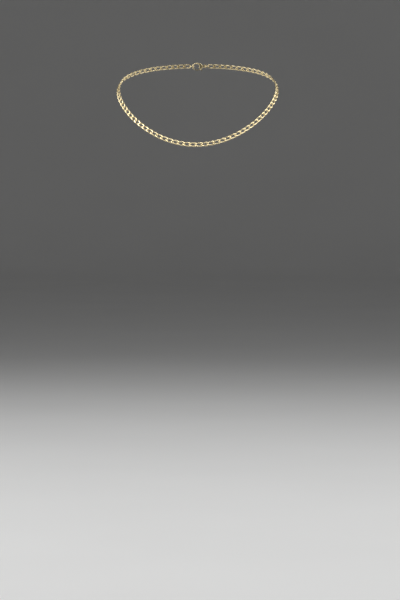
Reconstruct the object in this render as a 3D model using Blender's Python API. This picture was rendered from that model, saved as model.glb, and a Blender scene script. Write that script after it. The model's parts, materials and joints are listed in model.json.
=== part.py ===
"""Flat curb chain necklace, closed at the nape by a lobster clasp.

Metres, +Z up, +Y towards the nape.  The origin is on the clasp's face that lies against
the nape, and the loop hangs forward and down from there.  Each link is a stadium of round
wire twisted into a saddle, so that it lies flat through its neighbours.
"""

import math

import bmesh
import bpy
import numpy as np
from mathutils import Matrix, Vector

MM = 0.001

# Path of the chain: x to the side, depth back from the front centre, rise above it
HALF_WIDTH = 67.7 * MM
PLAN_DEPTH = 48.0 * MM
PLAN_BULGE = 5.0 * MM
RISE = 66.0 * MM
RISE_SQUARE = -22.0 * MM
RISE_CUBE = 3.0 * MM
FRONT_TILT = math.radians(20)
SIDE_TILT = math.radians(34)
PATH_STEPS = 8000

# Points closer than this are one point
WELD_DISTANCE = 0.002 * MM

# Links
SINGLE_LINKS = 22
RUNS = 4
RUN_LINKS = 4
WIRE = 0.95 * MM
LINK_HALF_LENGTH = 3.05 * MM
LINK_HALF_WIDTH = 1.33 * MM
SADDLE = 0.229 / MM
END_STEPS = 4
BEAD_RADIUS = 0.36 * MM

# Rings
RING_WIRE = 0.8 * MM
JUMP_RING_RADIUS = 1.6 * MM
END_RING_RADIUS = 2.1 * MM
CONTACT_SLACK = 0.05 * MM
RING_STEPS = 24
RING_SIDES = 8

# Lobster clasp, lying along X with its hook towards -X
CLASP_HALF_SPAN = 8.0 * MM
CLASP_THICKNESS = 2.4 * MM
CLASP_EDGE = 0.3 * MM
CLASP_CENTRE = (-1.7 * MM, -0.5 * MM)
CLASP_SEMI = (4.6 * MM, 3.4 * MM)
EYE_CENTRE = (-2.5 * MM, -0.2 * MM)
EYE_SEMI = (2.7 * MM, 2.1 * MM)
GATE_SEMI = (4.05 * MM, 2.85 * MM)
TAIL_THICKNESS = 1.2 * MM
TAIL_RADIUS = 1.5 * MM
TAIL_HOLE_RADIUS = 0.75 * MM
TAIL_EYE_X = 5.2 * MM
TAIL_NECK_X = 1.6 * MM
TAIL_NECK_HALF_WIDTH = 1.05 * MM
OUTLINE_STEPS = 40

# Lever and pin
PIVOT_ANGLE = math.radians(-44)
GATE_END_ANGLE = math.radians(-128)
LIP_ANGLE = math.radians(-117)
LIP_LAP = math.radians(8)
HEEL_ANGLE = math.radians(-38)
EYE_END_ANGLE = math.radians(-40)
PIVOT_BOSS_RADIUS = 0.9 * MM
SLOT_WIDTH = 1.2 * MM
SLOT_RADIUS = 1.35 * MM
LEVER_THICKNESS = 0.9 * MM
LEVER_HALF_WIDTH = 0.42 * MM
LEVER_HUB_RADIUS = 0.85 * MM
LEVER_HOLE_RADIUS = 0.42 * MM
TAB_LENGTH = 1.9 * MM
PIN_RADIUS = 0.35 * MM
BORE_RADIUS = 0.4 * MM
FIT_GAP = 0.08 * MM
SPRING_RADIUS = 1.1 * MM
SPRING_WIRE = 0.22 * MM
SPRING_START = math.radians(35)
SPRING_END = math.radians(125)

NAPE_Y = CLASP_THICKNESS / 2


def clear_scene():
    for obj in list(bpy.data.objects):
        bpy.data.objects.remove(obj, do_unlink=True)


def make_collection(name):
    collection = bpy.data.collections.new(name)
    bpy.context.scene.collection.children.link(collection)
    return collection


def make_material(name, color, roughness):
    material = bpy.data.materials.new(name)
    material.use_nodes = True
    shader = material.node_tree.nodes["Principled BSDF"]
    shader.inputs["Base Color"].default_value = (*color, 1.0)
    shader.inputs["Metallic"].default_value = 1.0
    shader.inputs["Roughness"].default_value = roughness
    material.diffuse_color = (*color, 1.0)
    return material


# ---------------------------------------------------------------- path of the chain


def path_point(angle):
    """The point of the loop at an angle in plan, 0 at the front centre and pi at the nape."""
    turn = 1 - math.cos(angle)
    depth = PLAN_DEPTH * turn + PLAN_BULGE * math.sin(angle) ** 2
    rise = RISE * turn + RISE_SQUARE * turn**2 + RISE_CUBE * turn**3
    nape_rise = 2 * RISE + 4 * RISE_SQUARE + 8 * RISE_CUBE
    y = NAPE_Y - 2 * PLAN_DEPTH + depth
    return Vector((HALF_WIDTH * math.sin(angle), y, rise - nape_rise))


def path_outward(angle):
    """The horizontal direction away from the neck."""
    along_x = HALF_WIDTH * math.cos(angle)
    along_y = PLAN_DEPTH * math.sin(angle) + PLAN_BULGE * math.sin(2 * angle)
    return Vector((along_y, -along_x, 0)).normalized()


def path_lengths():
    """Angles from the front centre to the nape, and the length of chain up to each."""
    angles = np.linspace(0, math.pi, PATH_STEPS + 1)
    points = np.array([path_point(a) for a in angles])
    steps = np.linalg.norm(np.diff(points, axis=0), axis=1)
    return angles, np.concatenate([[0.0], np.cumsum(steps)])


PATH_ANGLES, PATH_LENGTHS = path_lengths()
LINKS_PER_SIDE = SINGLE_LINKS + RUNS * RUN_LINKS
PITCH = (PATH_LENGTHS[-1] - CLASP_HALF_SPAN) / LINKS_PER_SIDE


def contact_point(count, side):
    """Where link number count, from the front, bears on the next one; side is 1 or -1."""
    point = path_point(np.interp(count * PITCH, PATH_LENGTHS, PATH_ANGLES))
    point.x *= side
    return point


def link_matrix(number, side):
    """The place of a link: local x along the chain, z out from the neck."""
    near, far = contact_point(number - 1, side), contact_point(number, side)
    angle = float(np.interp((number - 0.5) * PITCH, PATH_LENGTHS, PATH_ANGLES))
    along = (far - near).normalized() * side
    tilt = FRONT_TILT * (1 + math.cos(angle)) / 2 + SIDE_TILT * math.sin(angle) ** 2
    outward = path_outward(angle)
    outward.x *= side
    face = outward * math.cos(tilt) + Vector((0, 0, 1)) * math.sin(tilt)
    face = (face - along * face.dot(along)).normalized()
    across = face.cross(along)
    rotation = Matrix((along, across, face)).transposed().to_4x4()
    return Matrix.Translation((near + far) / 2) @ rotation


# ---------------------------------------------------------------- shapes


def add_object(name, data, collection, material=None):
    obj = bpy.data.objects.new(name, data)
    collection.objects.link(obj)
    if material:
        data.materials.append(material)
    return obj


def wire_curve(name, points, diameter, closed, resolution=1):
    """A tube along a poly spline, with filled caps where it is open."""
    curve = bpy.data.curves.new(name, "CURVE")
    curve.dimensions = "3D"
    curve.bevel_depth = diameter / 2
    curve.bevel_resolution = resolution
    curve.use_fill_caps = not closed
    spline = curve.splines.new("POLY")
    spline.points.add(len(points) - 1)
    for target, point in zip(spline.points, points):
        target.co = (*point, 1)
    spline.use_cyclic_u = closed
    return curve


def flat_curve(name, outlines, thickness, edge):
    """A flat plate with softened edges; the outlines after the first are holes."""
    curve = bpy.data.curves.new(name, "CURVE")
    curve.dimensions = "2D"
    curve.fill_mode = "BOTH"
    curve.extrude = thickness / 2 - edge
    curve.bevel_depth = edge
    curve.bevel_resolution = 0
    curve.offset = -edge
    for outline in outlines:
        spline = curve.splines.new("POLY")
        spline.points.add(len(outline) - 1)
        for target, (x, y) in zip(spline.points, outline):
            target.co = (x, y, 0, 1)
        spline.use_cyclic_u = True
    return curve


def mesh_from(obj):
    """Turns a curve object into a mesh object with its caps welded, in the same place."""
    bpy.context.view_layer.update()
    evaluated = obj.evaluated_get(bpy.context.evaluated_depsgraph_get())
    mesh = bpy.data.meshes.new_from_object(evaluated)
    shape = bmesh.new()
    shape.from_mesh(mesh)
    bmesh.ops.remove_doubles(shape, verts=shape.verts, dist=WELD_DISTANCE)
    bmesh.ops.recalc_face_normals(shape, faces=shape.faces)
    shape.to_mesh(mesh)
    shape.free()
    name, matrix = obj.name, obj.matrix_world.copy()
    collection = obj.users_collection[0]
    bpy.data.objects.remove(obj, do_unlink=True)
    result = bpy.data.objects.new(name, mesh)
    collection.objects.link(result)
    result.matrix_world = matrix
    return result


def make_cylinder(name, radius, depth, location, collection, sides=20):
    """A cylinder along Y."""
    shape = bmesh.new()
    bmesh.ops.create_cone(
        shape, cap_ends=True, segments=sides, radius1=radius, radius2=radius, depth=depth
    )
    mesh = bpy.data.meshes.new(name)
    shape.to_mesh(mesh)
    shape.free()
    obj = add_object(name, mesh, collection)
    obj.matrix_world = Matrix.Translation(location) @ Matrix.Rotation(math.pi / 2, 4, "X")
    return obj


def hide_helper(obj):
    obj.hide_render = True
    obj.display_type = "WIRE"


def add_boolean(obj, other, operation):
    modifier = obj.modifiers.new(other.name, "BOOLEAN")
    modifier.operation = operation
    modifier.object = other
    hide_helper(other)


def ellipse_point(centre, semi, angle):
    return (centre[0] + semi[0] * math.cos(angle), centre[1] + semi[1] * math.sin(angle))


def arc_points(centre, semi, start, end, steps):
    return [ellipse_point(centre, semi, a) for a in np.linspace(start, end, steps + 1)]


# ---------------------------------------------------------------- links


def link_points():
    """Centre line of one link: straight sides, round ends, twisted as z = SADDLE x y."""
    straight = LINK_HALF_LENGTH - LINK_HALF_WIDTH
    points = []
    for end in (1, -1):
        for step in range(END_STEPS + 1):
            angle = math.pi * (step / END_STEPS - 0.5)
            x = end * (straight + LINK_HALF_WIDTH * math.cos(angle))
            y = end * LINK_HALF_WIDTH * math.sin(angle)
            points.append((x, y, SADDLE * x * y))
    return points


def make_link(name, number, side, collection, material):
    curve = wire_curve(name, link_points(), WIRE, closed=True)
    obj = add_object(name, curve, collection, material)
    obj.matrix_world = link_matrix(number, side)
    return obj


def make_bead(name, location, collection):
    shape = bmesh.new()
    bmesh.ops.create_icosphere(shape, subdivisions=1, radius=BEAD_RADIUS)
    mesh = bpy.data.meshes.new(name)
    shape.to_mesh(mesh)
    shape.free()
    bead = add_object(name, mesh, collection)
    bead.location = location
    return bead


def make_run(name, first, side, collection, helpers, material):
    """Links of the back of the chain, joined by a bead where each bears on the next."""
    run = mesh_from(make_link(name, first, side, collection, material))
    for number in range(first + 1, first + RUN_LINKS):
        bead = make_bead(f"{name}_bead_{number}", contact_point(number - 1, side), helpers)
        link = mesh_from(make_link(f"{name}_link_{number}", number, side, helpers, material))
        add_boolean(run, link, "UNION")
        add_boolean(run, bead, "UNION")
    return run


def make_chain(collection, helpers, material):
    for side, side_name in ((1, "right"), (-1, "left")):
        for number in range(1, SINGLE_LINKS + 1):
            make_link(f"link_{side_name}_{number:02d}", number, side, collection, material)
        for run in range(RUNS):
            first = SINGLE_LINKS + 1 + run * RUN_LINKS
            name = f"back_links_{side_name}_{run + 1}"
            make_run(name, first, side, collection, helpers, material)


# ---------------------------------------------------------------- clasp


def make_ring(name, radius, x, collection, material):
    bpy.ops.mesh.primitive_torus_add(
        major_segments=RING_STEPS,
        minor_segments=RING_SIDES,
        major_radius=radius,
        minor_radius=RING_WIRE / 2,
        location=(x, NAPE_Y, 0),
    )
    ring = bpy.context.object
    ring.name = name
    ring.data.materials.append(material)
    ring.data.shade_smooth()
    for other in ring.users_collection:
        other.objects.unlink(ring)
    collection.objects.link(ring)
    return ring


def stand_up(obj):
    """Turns a plate drawn in the XY plane to face along Y, on the line of the nape."""
    obj.matrix_world = Matrix.Translation((0, NAPE_Y, 0)) @ Matrix.Rotation(math.pi / 2, 4, "X")


def clasp_outline():
    """The C of the hook: outside to the hook's tip, back along the eye, and round the pivot."""
    lip_end = LIP_ANGLE + 2 * math.pi
    outside = arc_points(CLASP_CENTRE, CLASP_SEMI, HEEL_ANGLE, lip_end, OUTLINE_STEPS)
    lip = arc_points(CLASP_CENTRE, GATE_SEMI, LIP_ANGLE, GATE_END_ANGLE - LIP_LAP, 3)
    inside = arc_points(EYE_CENTRE, EYE_SEMI, GATE_END_ANGLE, EYE_END_ANGLE - 2 * math.pi, 24)
    hub = pivot_point()
    boss_semi = (PIVOT_BOSS_RADIUS,) * 2
    boss = arc_points((hub.x, hub.z), boss_semi, math.radians(150), math.radians(300), 8)
    return outside + lip + inside + boss


def make_clasp_body(collection, helpers, material):
    plate = add_object(
        "clasp_body",
        flat_curve("clasp_body", [clasp_outline()], CLASP_THICKNESS, CLASP_EDGE),
        collection,
    )
    stand_up(plate)
    body = mesh_from(plate)
    body.data.materials.clear()
    body.data.materials.append(material)
    tail_angle = math.asin(TAIL_NECK_HALF_WIDTH / TAIL_RADIUS)
    tail = [(TAIL_NECK_X, TAIL_NECK_HALF_WIDTH), (TAIL_NECK_X, -TAIL_NECK_HALF_WIDTH)]
    tail += arc_points(
        (TAIL_EYE_X, 0), (TAIL_RADIUS,) * 2, tail_angle - math.pi, math.pi - tail_angle, 20
    )
    hole = arc_points((TAIL_EYE_X, 0), (TAIL_HOLE_RADIUS,) * 2, 0, -2 * math.pi, 16)[:-1]
    tail_plate = add_object(
        "clasp_tail", flat_curve("clasp_tail", [tail, hole], TAIL_THICKNESS, 0.0), helpers
    )
    stand_up(tail_plate)
    add_boolean(body, mesh_from(tail_plate), "UNION")
    pivot = pivot_point()
    slot = make_cylinder("lever_slot", SLOT_RADIUS, SLOT_WIDTH, pivot, helpers, sides=32)
    add_boolean(body, slot, "DIFFERENCE")
    bore = make_cylinder("pin_bore", BORE_RADIUS, 2 * CLASP_THICKNESS, pivot, helpers)
    add_boolean(body, bore, "DIFFERENCE")
    return body


def pivot_point():
    x, z = ellipse_point(CLASP_CENTRE, GATE_SEMI, PIVOT_ANGLE)
    return Vector((x, NAPE_Y, z))


def lever_outline():
    """The gate from its hub to under the hook's lip, with the thumb tab behind the hub."""
    outer = [s + LEVER_HALF_WIDTH for s in GATE_SEMI]
    inner = [s - LEVER_HALF_WIDTH for s in GATE_SEMI]
    under = [s - FIT_GAP for s in GATE_SEMI]
    hub = pivot_point()
    arm_start = PIVOT_ANGLE - math.radians(14)
    step_angle = LIP_ANGLE + math.radians(1.5)
    points = arc_points(CLASP_CENTRE, outer, arm_start, step_angle, 8)
    points += arc_points(CLASP_CENTRE, under, step_angle, GATE_END_ANGLE, 2)
    points += arc_points(CLASP_CENTRE, inner, GATE_END_ANGLE, arm_start, 8)
    hub_centre, hub_semi = (hub.x, hub.z), (LEVER_HUB_RADIUS,) * 2
    points += arc_points(hub_centre, hub_semi, math.radians(150), math.radians(-20), 10)
    reach = (TAB_LENGTH,) * 2
    points += arc_points(hub_centre, reach, math.radians(-42), math.radians(-62), 3)
    points += arc_points(hub_centre, hub_semi, math.radians(-100), math.radians(-120), 2)
    return points


def make_lever(collection, material):
    hub = pivot_point()
    hole = arc_points((hub.x, hub.z), (LEVER_HOLE_RADIUS,) * 2, 0, -2 * math.pi, 16)[:-1]
    lever = add_object(
        "clasp_lever",
        flat_curve("clasp_lever", [lever_outline(), hole], LEVER_THICKNESS, 0.0),
        collection,
        material,
    )
    stand_up(lever)
    origin_to_hub = Matrix.Translation(hub) @ Matrix.Rotation(math.pi / 2, 4, "X")
    lever = mesh_from(lever)
    lever.data.transform(origin_to_hub.inverted() @ lever.matrix_world)
    lever.matrix_world = origin_to_hub
    return lever


def make_spring(collection, material):
    """A part turn of spring wire round the lever's hub, inside the slot."""
    hub = pivot_point()
    points = [
        (hub.x + SPRING_RADIUS * math.cos(a), NAPE_Y, hub.z + SPRING_RADIUS * math.sin(a))
        for a in np.linspace(SPRING_START, SPRING_END, 9)
    ]
    curve = wire_curve("lever_spring", points, SPRING_WIRE, closed=False, resolution=0)
    return add_object("lever_spring", curve, collection, material)


def make_clasp(collection, helpers, gold, steel):
    make_clasp_body(collection, helpers, gold)
    make_lever(collection, gold)
    pin = make_cylinder("lever_pin", PIN_RADIUS, CLASP_THICKNESS, pivot_point(), collection)
    pin.data.materials.append(gold)
    pin.data.shade_smooth()
    pin.data.set_sharp_from_angle(angle=math.radians(40))
    make_spring(collection, steel)
    ring_reach = CLASP_HALF_SPAN + RING_WIRE / 2 + CONTACT_SLACK
    jump_x = ring_reach - JUMP_RING_RADIUS
    make_ring("clasp_jump_ring", JUMP_RING_RADIUS, jump_x, collection, gold)
    make_ring("end_ring", END_RING_RADIUS, END_RING_RADIUS - ring_reach, collection, gold)


def main():
    clear_scene()
    necklace = make_collection("chain_necklace")
    helpers = make_collection("helpers")
    gold_links = make_material("gold_links", (0.83, 0.68, 0.36), 0.22)
    gold_clasp = make_material("gold_clasp", (0.85, 0.70, 0.38), 0.18)
    spring_steel = make_material("spring_steel", (0.62, 0.62, 0.60), 0.3)
    make_chain(necklace, helpers, gold_links)
    make_clasp(necklace, helpers, gold_clasp, spring_steel)
    bpy.context.view_layer.update()


main()
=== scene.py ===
"""The looks of the chain necklace: planed curb links, rings and lobster clasp in pale gold."""

import json
import math

import bmesh
import bpy
import numpy as np
from mathutils import Matrix, Vector


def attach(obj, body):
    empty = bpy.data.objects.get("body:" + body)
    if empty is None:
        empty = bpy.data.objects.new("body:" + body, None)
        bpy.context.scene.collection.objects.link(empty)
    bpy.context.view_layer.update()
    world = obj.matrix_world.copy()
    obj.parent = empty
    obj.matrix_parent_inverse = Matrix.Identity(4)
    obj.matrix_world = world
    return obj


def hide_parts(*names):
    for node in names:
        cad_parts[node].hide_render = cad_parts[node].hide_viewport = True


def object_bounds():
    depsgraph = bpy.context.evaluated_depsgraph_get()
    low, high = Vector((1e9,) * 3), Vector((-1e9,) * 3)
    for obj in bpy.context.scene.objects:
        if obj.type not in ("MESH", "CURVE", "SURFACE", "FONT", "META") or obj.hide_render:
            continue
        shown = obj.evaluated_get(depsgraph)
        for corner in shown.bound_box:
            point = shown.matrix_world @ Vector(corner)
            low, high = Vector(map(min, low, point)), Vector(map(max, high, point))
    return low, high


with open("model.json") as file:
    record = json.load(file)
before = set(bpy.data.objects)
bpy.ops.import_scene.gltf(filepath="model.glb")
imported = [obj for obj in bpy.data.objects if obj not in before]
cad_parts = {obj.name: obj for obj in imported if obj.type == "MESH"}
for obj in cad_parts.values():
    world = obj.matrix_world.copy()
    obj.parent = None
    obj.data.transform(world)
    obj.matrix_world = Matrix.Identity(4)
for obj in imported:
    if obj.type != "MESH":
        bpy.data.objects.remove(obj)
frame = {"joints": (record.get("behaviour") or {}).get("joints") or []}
CAD_BOX = [list(corner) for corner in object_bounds()]

MM = 0.001

# The path of the chain, as in the CAD
HALF_WIDTH = 67.7 * MM
PLAN_DEPTH = 48.0 * MM
PLAN_BULGE = 5.0 * MM
RISE = 66.0 * MM
RISE_SQUARE = -22.0 * MM
RISE_CUBE = 3.0 * MM
FRONT_TILT = math.radians(20)
SIDE_TILT = math.radians(34)
PATH_STEPS = 8000
PATH_TOLERANCE = 0.01 * MM
SINGLE_LINKS = 22
RUNS = 4
RUN_LINKS = 4
LINKS_PER_SIDE = SINGLE_LINKS + RUNS * RUN_LINKS
CLASP_HALF_SPAN = 8.0 * MM
CLASP_THICKNESS = 2.4 * MM
NAPE_Y = CLASP_THICKNESS / 2
SIDES = {"right": 1, "left": -1}

# Links: a stadium of wire, twisted in a saddle and planed flat on both faces
WIRE = 0.95 * MM
LINK_HALF_LENGTH = 3.05 * MM
LINK_HALF_WIDTH = 1.33 * MM
LINK_STRAIGHT = LINK_HALF_LENGTH - LINK_HALF_WIDTH
LINK_BEND = math.pi * LINK_HALF_WIDTH
LINK_LAP = 2 * (2 * LINK_STRAIGHT + LINK_BEND)
SADDLE = 0.229 / MM
PLANED_HALF_THICKNESS = 0.66 * MM
END_RINGS = 18
RAIL_RINGS = 7
WIRE_SIDES = 18
FACET_EDGE = 0.035 * MM
# How far from a neighbouring link's wire the painted shade between links reaches
CREVICE_REACH = 0.38 * MM
NEIGHBOUR_POINTS = 60

# The soldered joint of a link: its places and its reach are shares of the way round
SEAM_PLACES = (0.37, 0.87)
SEAM_REACH = 0.012
SEAM_SWELL = 0.025

# Rings: their places allow for the CAD's wire, which is thicker than the drawn wire
RING_WIRE = 0.8 * MM
RING_WIRE_DRAWN = 0.72 * MM
JUMP_RING_RADIUS = 1.6 * MM
END_RING_RADIUS = 2.1 * MM
CONTACT_SLACK = 0.05 * MM
RING_CUT = math.radians(2.5)
RING_CUT_PLACE = math.radians(70)
RING_POINTS = 73

# Clasp, drawn in its own XZ plane
CLASP_CENTRE = (-1.7 * MM, -0.5 * MM)
CLASP_SEMI = (4.6 * MM, 3.4 * MM)
EYE_CENTRE = (-2.5 * MM, -0.2 * MM)
EYE_SEMI = (2.7 * MM, 2.1 * MM)
GATE_SEMI = (4.05 * MM, 2.85 * MM)
CLASP_ROUNDING = 0.45 * MM
PIVOT_ANGLE = math.radians(-44)
GATE_END_ANGLE = math.radians(-128)
LIP_ANGLE = math.radians(-117)
LIP_LAP = math.radians(8)
HEEL_ANGLE = math.radians(-38)
EYE_END_ANGLE = math.radians(-40)
BOSS_RADIUS = 0.9 * MM
BOSS_ANGLES = (math.radians(150), math.radians(300))
SLOT_WIDTH = 1.2 * MM
SLOT_RADIUS = 1.35 * MM
BORE_RADIUS = 0.4 * MM
CASTING_SMOOTH_DEGREES = 32

# Tail of the clasp
TAIL_THICKNESS = 1.2 * MM
TAIL_ROUNDING = 0.25 * MM
TAIL_RADIUS = 1.5 * MM
TAIL_HOLE_RADIUS = 0.75 * MM
TAIL_EYE_X = 5.2 * MM
TAIL_NECK_X = 1.6 * MM
TAIL_NECK_HALF_WIDTH = 1.05 * MM

# Lever, with a hub round the pin and a thumb tab below the hub
LEVER_THICKNESS = 0.9 * MM
LEVER_ROUNDING = 0.16 * MM
LEVER_HALF_WIDTH = 0.42 * MM
LEVER_ARM_GAP = math.radians(14)
LEVER_STEP_GAP = math.radians(1.5)
LEVER_HUB_RADIUS = 0.85 * MM
LEVER_HOLE_RADIUS = 0.42 * MM
UPPER_HUB_ANGLES = (math.radians(150), math.radians(-20))
LOWER_HUB_ANGLES = (math.radians(-100), math.radians(-120))
TAB_LENGTH = 1.9 * MM
TAB_ANGLES = (math.radians(-42), math.radians(-62))
FIT_GAP = 0.08 * MM
CREASE = math.radians(50)

# Pin and spring of the lever
PIN_RADIUS = 0.35 * MM
PIN_DOME = 0.12 * MM
DOME_STEPS = 6
SPRING_RADIUS = 1.1 * MM
SPRING_WIRE = 0.22 * MM
SPRING_ANGLES = (math.radians(35), math.radians(125))
SPRING_POINTS = 25

# Distances within which points are made one, and the angles up to which edges look round
POINT_WELD = 1e-7
CAP_WELD = 0.002 * MM
STAGE_WELD = 1e-5
WIRE_SMOOTH_DEGREES = 40
PIN_SMOOTH_DEGREES = 50

# Turns a piece drawn in the XY plane to stand in the XZ plane
UPRIGHT = Matrix.Rotation(math.pi / 2, 4, "X")

# Metals: the two hues that it drifts between, the dark brown of its painted shade between links,
# and its least and most roughness
GOLD_LIGHT = (0.88, 0.755, 0.475)
# The dark brown painted as shade where links meet, broken up by grime-like noise
GOLD_SHADE_AND_TARNISH = (0.30, 0.19, 0.07)
METALS = {
    "pale_gold_links": (GOLD_LIGHT, (0.82, 0.675, 0.375), GOLD_SHADE_AND_TARNISH, 0.13, 0.27),
    "pale_gold_clasp": (GOLD_LIGHT, (0.83, 0.685, 0.385), GOLD_SHADE_AND_TARNISH, 0.10, 0.24),
    "spring_wire": ((0.62, 0.62, 0.60), (0.5, 0.5, 0.48), (0.2, 0.17, 0.13), 0.2, 0.35),
}

# Grain of the metals: the scales are in noise cells to the metre
DRIFT_SCALE = 420.0
HAZE_SCALE = 900.0
GRIME_SCALE = 2600.0
# How strongly the painted shade between links darkens, broken up by grime-like noise
SHADE_AND_GRIME_GAIN = 1.3
GRIME_ROUGHNESS = 0.25
SCRATCH_SCALE = 3800.0
SCRATCH_STRETCH = (1.0, 9.0, 9.0)
SCRATCH_TURN = (0.2, 0.1, 0.35)
SCRATCH_ROUGHNESS = 0.08
SCRATCH_STRENGTH = 0.12
SCRATCH_DEPTH = 0.00004
DENT_SCALE = 650.0
DENT_STRENGTH = 0.25
DENT_DEPTH = 0.00012
GRAIN_SHIFT = (0.37, 0.21, 0.13)

# Stage: a paper floor whose edge curves up into a wall
FLOOR_DROP = 0.36
STAGE_RADIUS = 7.0
STAGE_BEND_RADIUS = 1.5
STAGE_WALL_HEIGHT = 3.5
STAGE_BEND_STEPS = 16
FLOOR_BANDS = (0.0, 0.25, 0.6, 1.0)
PAPER_SCALE = 3.0
PAPER_TONES = ((0.3, (0.8, 0.8, 0.795)), (0.7, (0.82, 0.82, 0.815)))

# Lights: place from the middle of the object, width and height, and power in watts
SOFT_BOXES = {
    "left_softbox": ((-1.3, 0.05, 0.6), (1.7, 1.5), 15),
    "right_softbox": ((1.3, 0.15, 0.6), (1.6, 1.4), 13),
    "front_softbox": ((0, -1.55, 1.3), (1.5, 0.35), 5.5),
    "left_strip": ((-1.15, -1.1, 1.4), (1.2, 0.5), 5.0),
    "right_strip": ((1.15, -1.1, 1.4), (1.2, 0.5), 5.0),
    "back_softbox": ((0, 1.5, 1.1), (1.6, 0.8), 5.0),
}
WORLD_STRENGTH = 0.11

# Camera: the field is the height of the frame at the front of the chain
CAMERA_DISTANCE = 2.5
CAMERA_TURN = 0.030
CAMERA_SENSOR = 36.0
CAMERA_CLIP = (0.01, 50.0)
FIELD_HEIGHT = 0.5025
VIEW_CENTRE_BELOW_FRONT = 0.1301
VIEW_CENTRE_ASIDE = 0.0021


# ---------------------------------------------------------------- path of the chain


def path_point(angle):
    turn = 1 - math.cos(angle)
    depth = PLAN_DEPTH * turn + PLAN_BULGE * math.sin(angle) ** 2
    rise = RISE * turn + RISE_SQUARE * turn**2 + RISE_CUBE * turn**3
    nape_rise = 2 * RISE + 4 * RISE_SQUARE + 8 * RISE_CUBE
    y = NAPE_Y - 2 * PLAN_DEPTH + depth
    return Vector((HALF_WIDTH * math.sin(angle), y, rise - nape_rise))


def path_outward(angle):
    """The level direction that points away from the neck."""
    along_x = HALF_WIDTH * math.cos(angle)
    along_y = PLAN_DEPTH * math.sin(angle) + PLAN_BULGE * math.sin(2 * angle)
    return Vector((along_y, -along_x, 0)).normalized()


def path_lengths():
    """Angles from the front to the nape, and the length of the path up to each."""
    angles = np.linspace(0, math.pi, PATH_STEPS + 1)
    points = np.array([path_point(a) for a in angles])
    steps = np.linalg.norm(np.diff(points, axis=0), axis=1)
    return angles, np.concatenate([[0.0], np.cumsum(steps)])


PATH_ANGLES, PATH_LENGTHS = path_lengths()
PITCH = (PATH_LENGTHS[-1] - CLASP_HALF_SPAN) / LINKS_PER_SIDE


def contact_point(count, side):
    """Where a side's link of that number touches the next, counted from the front."""
    point = path_point(np.interp(count * PITCH, PATH_LENGTHS, PATH_ANGLES))
    point.x *= side
    return point


def link_matrix(number, side):
    """The place of a link: local x along the chain, z out from the neck."""
    near, far = contact_point(number - 1, side), contact_point(number, side)
    angle = float(np.interp((number - 0.5) * PITCH, PATH_LENGTHS, PATH_ANGLES))
    along = (far - near).normalized() * side
    tilt = FRONT_TILT * (1 + math.cos(angle)) / 2 + SIDE_TILT * math.sin(angle) ** 2
    outward = path_outward(angle)
    outward.x *= side
    face = outward * math.cos(tilt) + Vector((0, 0, 1)) * math.sin(tilt)
    face = (face - along * face.dot(along)).normalized()
    across = face.cross(along)
    rotation = Matrix((along, across, face)).transposed().to_4x4()
    return Matrix.Translation((near + far) / 2) @ rotation


def check_path():
    """The links here must lie where the CAD's do: each hinge is at a contact point."""
    places = {joint["name"]: Vector(joint["pos_m"]) for joint in frame["joints"]}
    for side_name, side in SIDES.items():
        for number in range(1, SINGLE_LINKS + 1):
            place = places[f"{side_name}_{number:02d}_turn"]
            if (place - contact_point(number, side)).length > PATH_TOLERANCE:
                raise ValueError(f"link {number} on the {side_name} is off the CAD's path")


# ---------------------------------------------------------------- materials


def node(tree, kind, **values):
    made = tree.nodes.new(kind)
    for key, value in values.items():
        setattr(made, key, value)
    return made


def ramp(tree, source, stops):
    """A colour ramp with (position, colour) stops, fed by a socket."""
    made = node(tree, "ShaderNodeValToRGB")
    for element, (position, color) in zip(made.color_ramp.elements, stops):
        element.position = position
        element.color = (*color, 1.0)
    tree.links.new(source, made.inputs["Fac"])
    return made.outputs["Color"]


def noise(tree, vector, scale, detail=2.0, roughness=0.5):
    made = node(tree, "ShaderNodeTexNoise")
    made.inputs["Scale"].default_value = scale
    made.inputs["Detail"].default_value = detail
    made.inputs["Roughness"].default_value = roughness
    tree.links.new(vector, made.inputs["Vector"])
    return made.outputs["Fac"]


def math_node(tree, operation, *values, clamp=False):
    """One step of arithmetic on sockets and plain numbers."""
    made = node(tree, "ShaderNodeMath", operation=operation, use_clamp=clamp)
    for socket, value in zip(made.inputs, values):
        if isinstance(value, float):
            socket.default_value = value
        else:
            tree.links.new(value, socket)
    return made.outputs["Value"]


def mix_color(tree, factor, a, b):
    """A mix of two colours, each a socket or a plain colour."""
    made = node(tree, "ShaderNodeMix", data_type="RGBA")
    for name, value in (("Factor", factor), ("A", a), ("B", b)):
        socket = next(s for s in made.inputs if s.name == name and s.enabled)
        if isinstance(value, tuple):
            socket.default_value = (*value, 1.0)
        else:
            tree.links.new(value, socket)
    return next(s for s in made.outputs if s.enabled)


def bump(tree, height, strength, depth):
    made = node(tree, "ShaderNodeBump")
    made.inputs["Strength"].default_value = strength
    made.inputs["Distance"].default_value = depth
    tree.links.new(height, made.inputs["Height"])
    return made


def grain_place(tree):
    """The object's own coordinates, shifted so that no two pieces have the same grain."""
    place = node(tree, "ShaderNodeTexCoord").outputs["Object"]
    each = node(tree, "ShaderNodeObjectInfo").outputs["Random"]
    offset = node(tree, "ShaderNodeVectorMath", operation="SCALE")
    offset.inputs[0].default_value = GRAIN_SHIFT
    tree.links.new(each, offset.inputs["Scale"])
    moved = node(tree, "ShaderNodeVectorMath", operation="ADD")
    tree.links.new(place, moved.inputs[0])
    tree.links.new(offset.outputs["Vector"], moved.inputs[1])
    return moved.outputs["Vector"]


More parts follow.
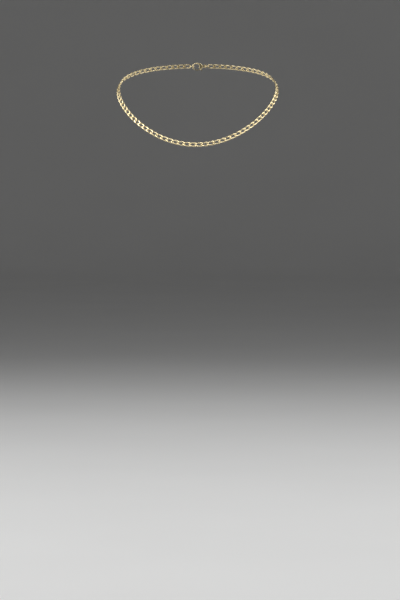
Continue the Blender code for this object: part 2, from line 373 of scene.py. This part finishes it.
def metal_material(name, light, deep, shade_and_tarnish, smooth, rough):
    """Worn polished metal: hue drift, painted shade where a neighbouring link comes close broken
    up by grime-like noise, fine hand scratches and soft dents.
    """
    material = bpy.data.materials.new(name)
    material.use_nodes = True
    tree = material.node_tree
    shader = tree.nodes["Principled BSDF"]
    shader.inputs["Metallic"].default_value = 1.0
    vector = grain_place(tree)

    drift = ramp(tree, noise(tree, vector, DRIFT_SCALE), [(0.3, (0, 0, 0)), (0.7, (1, 1, 1))])
    color = mix_color(tree, drift, light, deep)
    # Painted shade: darker brown where a neighbouring link comes close, broken up by grime-like
    # noise
    crevice = node(tree, "ShaderNodeAttribute", attribute_name="crevice").outputs["Fac"]
    shade_and_grime = math_node(tree, "MULTIPLY", noise(tree, vector, GRIME_SCALE, 3.0), SHADE_AND_GRIME_GAIN)
    shade_and_grime = math_node(tree, "MULTIPLY", shade_and_grime, crevice, clamp=True)
    color = mix_color(tree, shade_and_grime, color, shade_and_tarnish)
    tree.links.new(color, shader.inputs["Base Color"])

    stretch = node(tree, "ShaderNodeMapping")
    stretch.inputs["Scale"].default_value = SCRATCH_STRETCH
    stretch.inputs["Rotation"].default_value = SCRATCH_TURN
    tree.links.new(vector, stretch.inputs["Vector"])
    scratches = noise(tree, stretch.outputs["Vector"], SCRATCH_SCALE, 4.0, 0.7)
    haze = noise(tree, vector, HAZE_SCALE, 3.0)
    spread = math_node(tree, "MULTIPLY_ADD", haze, rough - smooth, smooth)
    fine = math_node(tree, "MULTIPLY", scratches, SCRATCH_ROUGHNESS)
    worn = math_node(tree, "ADD", spread, fine)
    dull = math_node(tree, "MULTIPLY", shade_and_grime, GRIME_ROUGHNESS)
    tree.links.new(math_node(tree, "ADD", worn, dull, clamp=True), shader.inputs["Roughness"])

    scored = bump(tree, scratches, SCRATCH_STRENGTH, SCRATCH_DEPTH)
    dented = bump(tree, noise(tree, vector, DENT_SCALE, 1.0), DENT_STRENGTH, DENT_DEPTH)
    tree.links.new(scored.outputs["Normal"], dented.inputs["Normal"])
    tree.links.new(dented.outputs["Normal"], shader.inputs["Normal"])
    return material


def paper_material():
    material = bpy.data.materials.new("stage_paper")
    material.use_nodes = True
    tree = material.node_tree
    shader = tree.nodes["Principled BSDF"]
    place = node(tree, "ShaderNodeTexCoord").outputs["Object"]
    tone = ramp(tree, noise(tree, place, PAPER_SCALE), PAPER_TONES)
    tree.links.new(tone, shader.inputs["Base Color"])
    shader.inputs["Roughness"].default_value = 0.9
    shader.inputs["Specular IOR Level"].default_value = 0.1
    return material


# ---------------------------------------------------------------- objects and meshes


def new_object(name, data, material=None):
    obj = bpy.data.objects.new(name, data)
    bpy.context.scene.collection.objects.link(obj)
    if material is not None:
        data.materials.append(material)
    return obj


def place_piece(obj, body, cad_node):
    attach(obj, body)
    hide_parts(cad_node)


def finished_mesh(name, shape):
    mesh = bpy.data.meshes.new(name)
    shape.to_mesh(mesh)
    shape.free()
    return mesh


def spun_shape(profile, steps, weld):
    """A bmesh of a (radius, height) profile, spun once round Z."""
    shape = bmesh.new()
    verts = [shape.verts.new((radius, 0, height)) for radius, height in profile]
    edges = [shape.edges.new(pair) for pair in zip(verts, verts[1:])]
    centre, axis = (0, 0, 0), (0, 0, 1)
    bmesh.ops.spin(
        shape, geom=verts + edges, cent=centre, axis=axis, angle=2 * math.pi, steps=steps
    )
    bmesh.ops.remove_doubles(shape, verts=shape.verts, dist=weld)
    return shape


def evaluated_mesh(obj):
    """A new mesh of an object as its curve settings and modifiers shape it."""
    bpy.context.view_layer.update()
    evaluated = obj.evaluated_get(bpy.context.evaluated_depsgraph_get())
    return bpy.data.meshes.new_from_object(evaluated)


def mesh_from(obj):
    """Turns a curve object into a mesh object with its caps welded, in the same place."""
    mesh = evaluated_mesh(obj)
    shape = bmesh.new()
    shape.from_mesh(mesh)
    bmesh.ops.remove_doubles(shape, verts=shape.verts, dist=CAP_WELD)
    bmesh.ops.recalc_face_normals(shape, faces=shape.faces)
    shape.to_mesh(mesh)
    shape.free()
    name, matrix = obj.name, obj.matrix_world.copy()
    bpy.data.objects.remove(obj, do_unlink=True)
    result = new_object(name, mesh)
    result.matrix_world = matrix
    return result


def round_wire(name, points, diameter, resolution, material):
    """A round wire through points, with its ends closed."""
    curve = bpy.data.curves.new(name, "CURVE")
    curve.dimensions = "3D"
    curve.bevel_depth = diameter / 2
    curve.bevel_resolution = resolution
    curve.use_fill_caps = True
    spline = curve.splines.new("POLY")
    spline.points.add(len(points) - 1)
    for target, point in zip(spline.points, points):
        target.co = (*point, 1)
    wire = mesh_from(new_object(name, curve, material))
    smooth_by_angle(wire, WIRE_SMOOTH_DEGREES)
    return wire


def flat_plate(name, outlines, thickness, rounding):
    """A plate with rounded edges that stands in the XZ plane, on the line of the nape."""
    curve = bpy.data.curves.new(name, "CURVE")
    curve.dimensions = "2D"
    curve.fill_mode = "BOTH"
    curve.extrude = thickness / 2 - rounding
    curve.bevel_depth = rounding
    curve.bevel_resolution = 4
    curve.offset = -rounding
    for outline in outlines:
        spline = curve.splines.new("POLY")
        spline.points.add(len(outline) - 1)
        for target, (x, y) in zip(spline.points, outline):
            target.co = (x, y, 0, 1)
        spline.use_cyclic_u = True
    plate = new_object(name, curve)
    plate.matrix_world = Matrix.Translation((0, NAPE_Y, 0)) @ UPRIGHT
    return mesh_from(plate)


def cylinder(name, radius, depth, location, sides):
    """A cylinder along Y, used for cutting."""
    shape = bmesh.new()
    bmesh.ops.create_cone(
        shape, cap_ends=True, segments=sides, radius1=radius, radius2=radius, depth=depth
    )
    obj = new_object(name, finished_mesh(name, shape))
    obj.matrix_world = Matrix.Translation(location) @ UPRIGHT
    return obj


def cut_or_join(obj, others, operation):
    """Applies a Boolean with each other object, and removes it."""
    for other in others:
        modifier = obj.modifiers.new("cut", "BOOLEAN")
        modifier.operation = operation
        modifier.object = other
        mesh = evaluated_mesh(obj)
        obj.modifiers.clear()
        obj.data = mesh
        bpy.data.objects.remove(other, do_unlink=True)


def set_material(obj, material):
    obj.data.materials.clear()
    obj.data.materials.append(material)


def smooth_by_angle(obj, degrees):
    obj.data.shade_smooth()
    obj.data.set_sharp_from_angle(angle=math.radians(degrees))


def arc_point(centre, semi, angle):
    return (centre[0] + semi[0] * math.cos(angle), centre[1] + semi[1] * math.sin(angle))


def arc_points(centre, semi, start, end, steps):
    """Points along an ellipse, or along a circle where semi is one radius."""
    if isinstance(semi, float):
        semi = (semi, semi)
    return [arc_point(centre, semi, a) for a in np.linspace(start, end, steps + 1)]


def hole_points(centre, radius, steps):
    return arc_points(centre, radius, 0, -2 * math.pi, steps)[:-1]


# ---------------------------------------------------------------- chain


def link_line(position):
    """Centre line of a link and its tangent, at a position from 0 to 1 round it."""
    run = position * LINK_LAP
    half, end = run % (LINK_LAP / 2), 1 if run < LINK_LAP / 2 else -1
    if half < LINK_BEND:
        angle = half / LINK_HALF_WIDTH - math.pi / 2
        x = LINK_STRAIGHT + LINK_HALF_WIDTH * math.cos(angle)
        y = LINK_HALF_WIDTH * math.sin(angle)
        dx, dy = -math.sin(angle), math.cos(angle)
    else:
        x, y = LINK_STRAIGHT - (half - LINK_BEND), LINK_HALF_WIDTH
        dx, dy = -1.0, 0.0
    x, y, dx, dy = end * x, end * y, end * dx, end * dy
    point = Vector((x, y, SADDLE * x * y))
    return point, Vector((dx, dy, SADDLE * (dx * y + x * dy))).normalized()


def link_positions():
    """Where the rings of points lie round a link: close in its ends, wide on its sides."""
    bends = [LINK_BEND * i / END_RINGS for i in range(END_RINGS)]
    rails = [LINK_BEND + 2 * LINK_STRAIGHT * i / RAIL_RINGS for i in range(RAIL_RINGS)]
    half = bends + rails
    return [run / LINK_LAP for run in half] + [0.5 + run / LINK_LAP for run in half]


def bent_wire(seam):
    """A bmesh of a link's closed wire, with the slight swell of its soldered joint."""
    shape = bmesh.new()
    rings = []
    for position in link_positions():
        centre, tangent = link_line(position)
        up = (Vector((0, 0, 1)) - tangent * tangent.z).normalized()
        side = tangent.cross(up)
        away = min(abs(position - seam), 1 - abs(position - seam))
        radius = WIRE / 2 * (1 + SEAM_SWELL * math.exp(-((away / SEAM_REACH) ** 2)))
        ring = []
        for i in range(WIRE_SIDES):
            turn = 2 * math.pi * i / WIRE_SIDES
            spot = centre + side * (radius * math.cos(turn)) + up * (radius * math.sin(turn))
            ring.append(shape.verts.new(spot))
        rings.append(ring)
    for ring, following in zip(rings, rings[1:] + rings[:1]):
        for i in range(WIRE_SIDES):
            j = (i + 1) % WIRE_SIDES
            shape.faces.new((ring[i], following[i], following[j], ring[j]))
    bmesh.ops.recalc_face_normals(shape, faces=shape.faces)
    for face in shape.faces:
        face.smooth = True
    return shape


def plane_flat(shape):
    """Planes both faces of a link, and softens the edges of the facets."""
    for direction in (1, -1):
        cut = bmesh.ops.bisect_plane(
            shape,
            geom=[*shape.verts, *shape.edges, *shape.faces],
            plane_co=Vector((0, 0, direction * PLANED_HALF_THICKNESS)),
            plane_no=(0, 0, direction),
            clear_outer=True,
            dist=POINT_WELD,
        )
        edges = [e for e in cut["geom_cut"] if isinstance(e, bmesh.types.BMEdge)]
        filled = bmesh.ops.holes_fill(shape, edges=edges, sides=0)
        rim = {e for face in filled["faces"] for e in face.edges}
        bmesh.ops.bevel(
            shape, geom=list(rim), offset=FACET_EDGE, segments=2, profile=0.6, affect="EDGES"
        )
    bmesh.ops.triangulate(shape, faces=[f for f in shape.faces if len(f.verts) > 4])
    bmesh.ops.recalc_face_normals(shape, faces=shape.faces)


def crevice_value(point, neighbour_line):
    """1 where a neighbouring link's wire lies on the surface, 0 where it is far off."""
    nearest = min((point - p).length for p in neighbour_line) - WIRE / 2
    return max(0.0, min(1.0, 1 - nearest / CREVICE_REACH))


def mark_crevices(mesh):
    """Stores on each point how close a neighbouring link comes, for the painted shade between
    links.
    """
    line = [link_line(i / NEIGHBOUR_POINTS)[0] for i in range(NEIGHBOUR_POINTS)]
    shift = Vector((PITCH, 0, 0))
    beside = [p + shift for p in line] + [p - shift for p in line]
    layer = mesh.attributes.new("crevice", "FLOAT", "POINT")
    layer.data.foreach_set("value", [crevice_value(v.co, beside) for v in mesh.vertices])


def link_mesh(name, material, seam):
    shape = bent_wire(seam)
    plane_flat(shape)
    mesh = finished_mesh(name, shape)
    mesh.materials.append(material)
    mark_crevices(mesh)
    return mesh


def body_and_node(number, side_name):
    """The body that a link rides, and the CAD node that it takes the place of."""
    if number <= SINGLE_LINKS:
        return f"{side_name}_{number:02d}", f"link_{side_name}_{number:02d}"
    run = (number - SINGLE_LINKS - 1) // RUN_LINKS + 1
    return f"back_{side_name}_{run}", f"back_links_{side_name}_{run}"


def make_chain(material):
    """All links, from two meshes that alternate, so that the soldered joints do too."""
    meshes = [link_mesh(f"curb_link_{i}", material, at) for i, at in enumerate(SEAM_PLACES)]
    for side_name, side in SIDES.items():
        for number in range(1, LINKS_PER_SIDE + 1):
            link = new_object(f"curb_link_{side_name}_{number:02d}", meshes[number % 2])
            link.matrix_world = link_matrix(number, side)
            body, cad_node = body_and_node(number, side_name)
            place_piece(link, body, cad_node)


# ---------------------------------------------------------------- clasp and rings


def pivot_point():
    x, z = arc_point(CLASP_CENTRE, GATE_SEMI, PIVOT_ANGLE)
    return Vector((x, NAPE_Y, z))


def clasp_outline():
    lip_end = LIP_ANGLE + 2 * math.pi
    eye_end = EYE_END_ANGLE - 2 * math.pi
    outside = arc_points(CLASP_CENTRE, CLASP_SEMI, HEEL_ANGLE, lip_end, steps=110)
    lip = arc_points(CLASP_CENTRE, GATE_SEMI, LIP_ANGLE, GATE_END_ANGLE - LIP_LAP, steps=6)
    inside = arc_points(EYE_CENTRE, EYE_SEMI, GATE_END_ANGLE, eye_end, steps=70)
    pivot = pivot_point()
    boss = arc_points((pivot.x, pivot.z), BOSS_RADIUS, *BOSS_ANGLES, steps=20)
    return outside + lip + inside + boss


def make_tail():
    """The clasp's tail, with a neck that runs into the casting and an eye for the ring."""
    eye = (TAIL_EYE_X, 0)
    neck_angle = math.asin(TAIL_NECK_HALF_WIDTH / TAIL_RADIUS)
    neck = [(TAIL_NECK_X, TAIL_NECK_HALF_WIDTH), (TAIL_NECK_X, -TAIL_NECK_HALF_WIDTH)]
    end = arc_points(eye, TAIL_RADIUS, neck_angle - math.pi, math.pi - neck_angle, steps=56)
    hole = hole_points(eye, TAIL_HOLE_RADIUS, steps=40)
    return flat_plate("tail", [neck + end, hole], TAIL_THICKNESS, TAIL_ROUNDING)


def make_clasp_body(material):
    body = flat_plate("clasp_casting", [clasp_outline()], CLASP_THICKNESS, CLASP_ROUNDING)
    cut_or_join(body, [make_tail()], "UNION")
    slot = cylinder("slot", SLOT_RADIUS, SLOT_WIDTH, pivot_point(), sides=72)
    bore = cylinder("bore", BORE_RADIUS, 2 * CLASP_THICKNESS, pivot_point(), sides=48)
    cut_or_join(body, [slot, bore], "DIFFERENCE")
    set_material(body, material)
    smooth_by_angle(body, CASTING_SMOOTH_DEGREES)
    place_piece(body, "clasp", "clasp_body")


def lever_outline():
    """The arm, stepped down under the lip, then the hub with its thumb tab."""
    outer = [s + LEVER_HALF_WIDTH for s in GATE_SEMI]
    inner = [s - LEVER_HALF_WIDTH for s in GATE_SEMI]
    under = [s - FIT_GAP for s in GATE_SEMI]
    arm_start = PIVOT_ANGLE - LEVER_ARM_GAP
    step_angle = LIP_ANGLE + LEVER_STEP_GAP
    points = arc_points(CLASP_CENTRE, outer, arm_start, step_angle, steps=24)
    points += arc_points(CLASP_CENTRE, under, step_angle, GATE_END_ANGLE, steps=5)
    points += arc_points(CLASP_CENTRE, inner, GATE_END_ANGLE, arm_start, steps=24)
    pivot = pivot_point()
    hub = (pivot.x, pivot.z)
    points += arc_points(hub, LEVER_HUB_RADIUS, *UPPER_HUB_ANGLES, steps=24)
    points += arc_points(hub, TAB_LENGTH, *TAB_ANGLES, steps=6)
    points += arc_points(hub, LEVER_HUB_RADIUS, *LOWER_HUB_ANGLES, steps=4)
    return points


def make_lever(material):
    pivot = pivot_point()
    hole = hole_points((pivot.x, pivot.z), LEVER_HOLE_RADIUS, steps=32)
    lever = flat_plate("clasp_gate", [lever_outline(), hole], LEVER_THICKNESS, 0.0)
    soften = lever.modifiers.new("soften", "BEVEL")
    soften.width = LEVER_ROUNDING
    soften.segments = 3
    soften.limit_method = "ANGLE"
    soften.angle_limit = CREASE
    set_material(lever, material)
    smooth_by_angle(lever, WIRE_SMOOTH_DEGREES)
    place_piece(lever, "lever", "clasp_lever")


def make_pin(material):
    """The pivot pin, with its ends riveted over in shallow domes."""
    half = CLASP_THICKNESS / 2
    dome = [
        (PIN_RADIUS * math.cos(a), half - PIN_DOME + PIN_DOME * math.sin(a))
        for a in np.linspace(0, math.pi / 2, DOME_STEPS + 1)
    ]
    profile = dome[::-1] + [(radius, -height) for radius, height in dome]
    shape = spun_shape(profile, 36, POINT_WELD)
    bmesh.ops.recalc_face_normals(shape, faces=shape.faces)
    pin = new_object("rivet_pin", finished_mesh("rivet_pin", shape), material)
    pin.matrix_world = Matrix.Translation(pivot_point()) @ UPRIGHT
    smooth_by_angle(pin, PIN_SMOOTH_DEGREES)
    place_piece(pin, "clasp", "lever_pin")


def make_spring(material):
    pivot = pivot_point()
    points = [
        (pivot.x + SPRING_RADIUS * math.cos(a), NAPE_Y, pivot.z + SPRING_RADIUS * math.sin(a))
        for a in np.linspace(*SPRING_ANGLES, SPRING_POINTS)
    ]
    spring = round_wire("gate_spring", points, SPRING_WIRE, 4, material)
    place_piece(spring, "clasp", "lever_spring")


def make_ring(name, radius, centre_x, body, cad_node, material):
    """A ring of wire bent round until its ends meet, thin enough to clear the end links' swing."""
    start, end = RING_CUT / 2, 2 * math.pi - RING_CUT / 2
    angles = np.linspace(start, end, RING_POINTS) + RING_CUT_PLACE
    points = [(centre_x + radius * math.cos(a), NAPE_Y + radius * math.sin(a), 0) for a in angles]
    ring = round_wire(name, points, RING_WIRE_DRAWN, 6, material)
    place_piece(ring, body, cad_node)


def make_clasp(gold, steel):
    make_clasp_body(gold)
    make_lever(gold)
    make_pin(gold)
    make_spring(steel)
    reach = CLASP_HALF_SPAN + RING_WIRE / 2 + CONTACT_SLACK
    jump_x, catch_x = reach - JUMP_RING_RADIUS, END_RING_RADIUS - reach
    make_ring("jump_ring", JUMP_RING_RADIUS, jump_x, "ring_right", "clasp_jump_ring", gold)
    make_ring("catch_ring", END_RING_RADIUS, catch_x, "ring_left", "end_ring", gold)


# ---------------------------------------------------------------- stage, light and camera


def make_stage(floor_z):
    """A pale round floor that curves up into a wall, open above."""
    flat = STAGE_RADIUS - STAGE_BEND_RADIUS
    profile = [(flat * share, 0.0) for share in FLOOR_BANDS]
    profile += [
        (flat + STAGE_BEND_RADIUS * math.sin(a), STAGE_BEND_RADIUS * (1 - math.cos(a)))
        for a in np.linspace(0, math.pi / 2, STAGE_BEND_STEPS + 1)[1:]
    ]
    profile.append((STAGE_RADIUS, STAGE_WALL_HEIGHT))
    mesh = finished_mesh("stage_floor", spun_shape(profile, 96, STAGE_WELD))
    mesh.shade_smooth()
    stage = new_object("stage_floor", mesh, paper_material())
    stage.location.z = floor_z


def face_towards(obj, target):
    obj.rotation_euler = (target - obj.location).to_track_quat("-Z", "Y").to_euler()


def make_lights(centre):
    """A tent of soft boxes turned to the object, and a dim white world."""
    for name, (place, size, watts) in SOFT_BOXES.items():
        light = bpy.data.lights.new(name, "AREA")
        light.shape = "RECTANGLE"
        light.size, light.size_y = size
        light.energy = watts
        box = new_object(name, light)
        box.visible_camera = False
        box.location = centre + Vector(place)
        face_towards(box, centre)
    world = bpy.data.worlds.new("studio")
    world.use_nodes = True
    background = world.node_tree.nodes["Background"]
    background.inputs["Color"].default_value = (1.0, 1.0, 1.0, 1.0)
    background.inputs["Strength"].default_value = WORLD_STRENGTH
    bpy.context.scene.world = world


def make_camera():
    """Level with the front of the chain and a little to the wearer's left, looking down."""
    camera = bpy.data.cameras.new("camera")
    camera.sensor_width = CAMERA_SENSOR
    camera.lens = camera.sensor_width * CAMERA_DISTANCE / FIELD_HEIGHT
    camera.clip_start, camera.clip_end = CAMERA_CLIP
    obj = new_object("camera", camera)
    towards = Vector((-math.sin(CAMERA_TURN), math.cos(CAMERA_TURN), 0))
    aside = Vector((towards.y, -towards.x, 0)) * VIEW_CENTRE_ASIDE
    middle = path_point(0) + Vector((0, PLAN_DEPTH, 0)) + aside
    obj.location = middle - towards * (CAMERA_DISTANCE + PLAN_DEPTH)
    face_towards(obj, middle - towards * PLAN_DEPTH - Vector((0, 0, VIEW_CENTRE_BELOW_FRONT)))
    bpy.context.scene.camera = obj


def main():
    check_path()
    metals = {name: metal_material(name, *look) for name, look in METALS.items()}
    make_chain(metals["pale_gold_links"])
    make_clasp(metals["pale_gold_clasp"], metals["spring_wire"])
    low, high = Vector(CAD_BOX[0]), Vector(CAD_BOX[1])
    make_stage(low.z - FLOOR_DROP)
    make_lights((low + high) / 2)
    make_camera()
    bpy.context.scene.view_settings.view_transform = "Standard"


main()
bpy.context.view_layer.update()
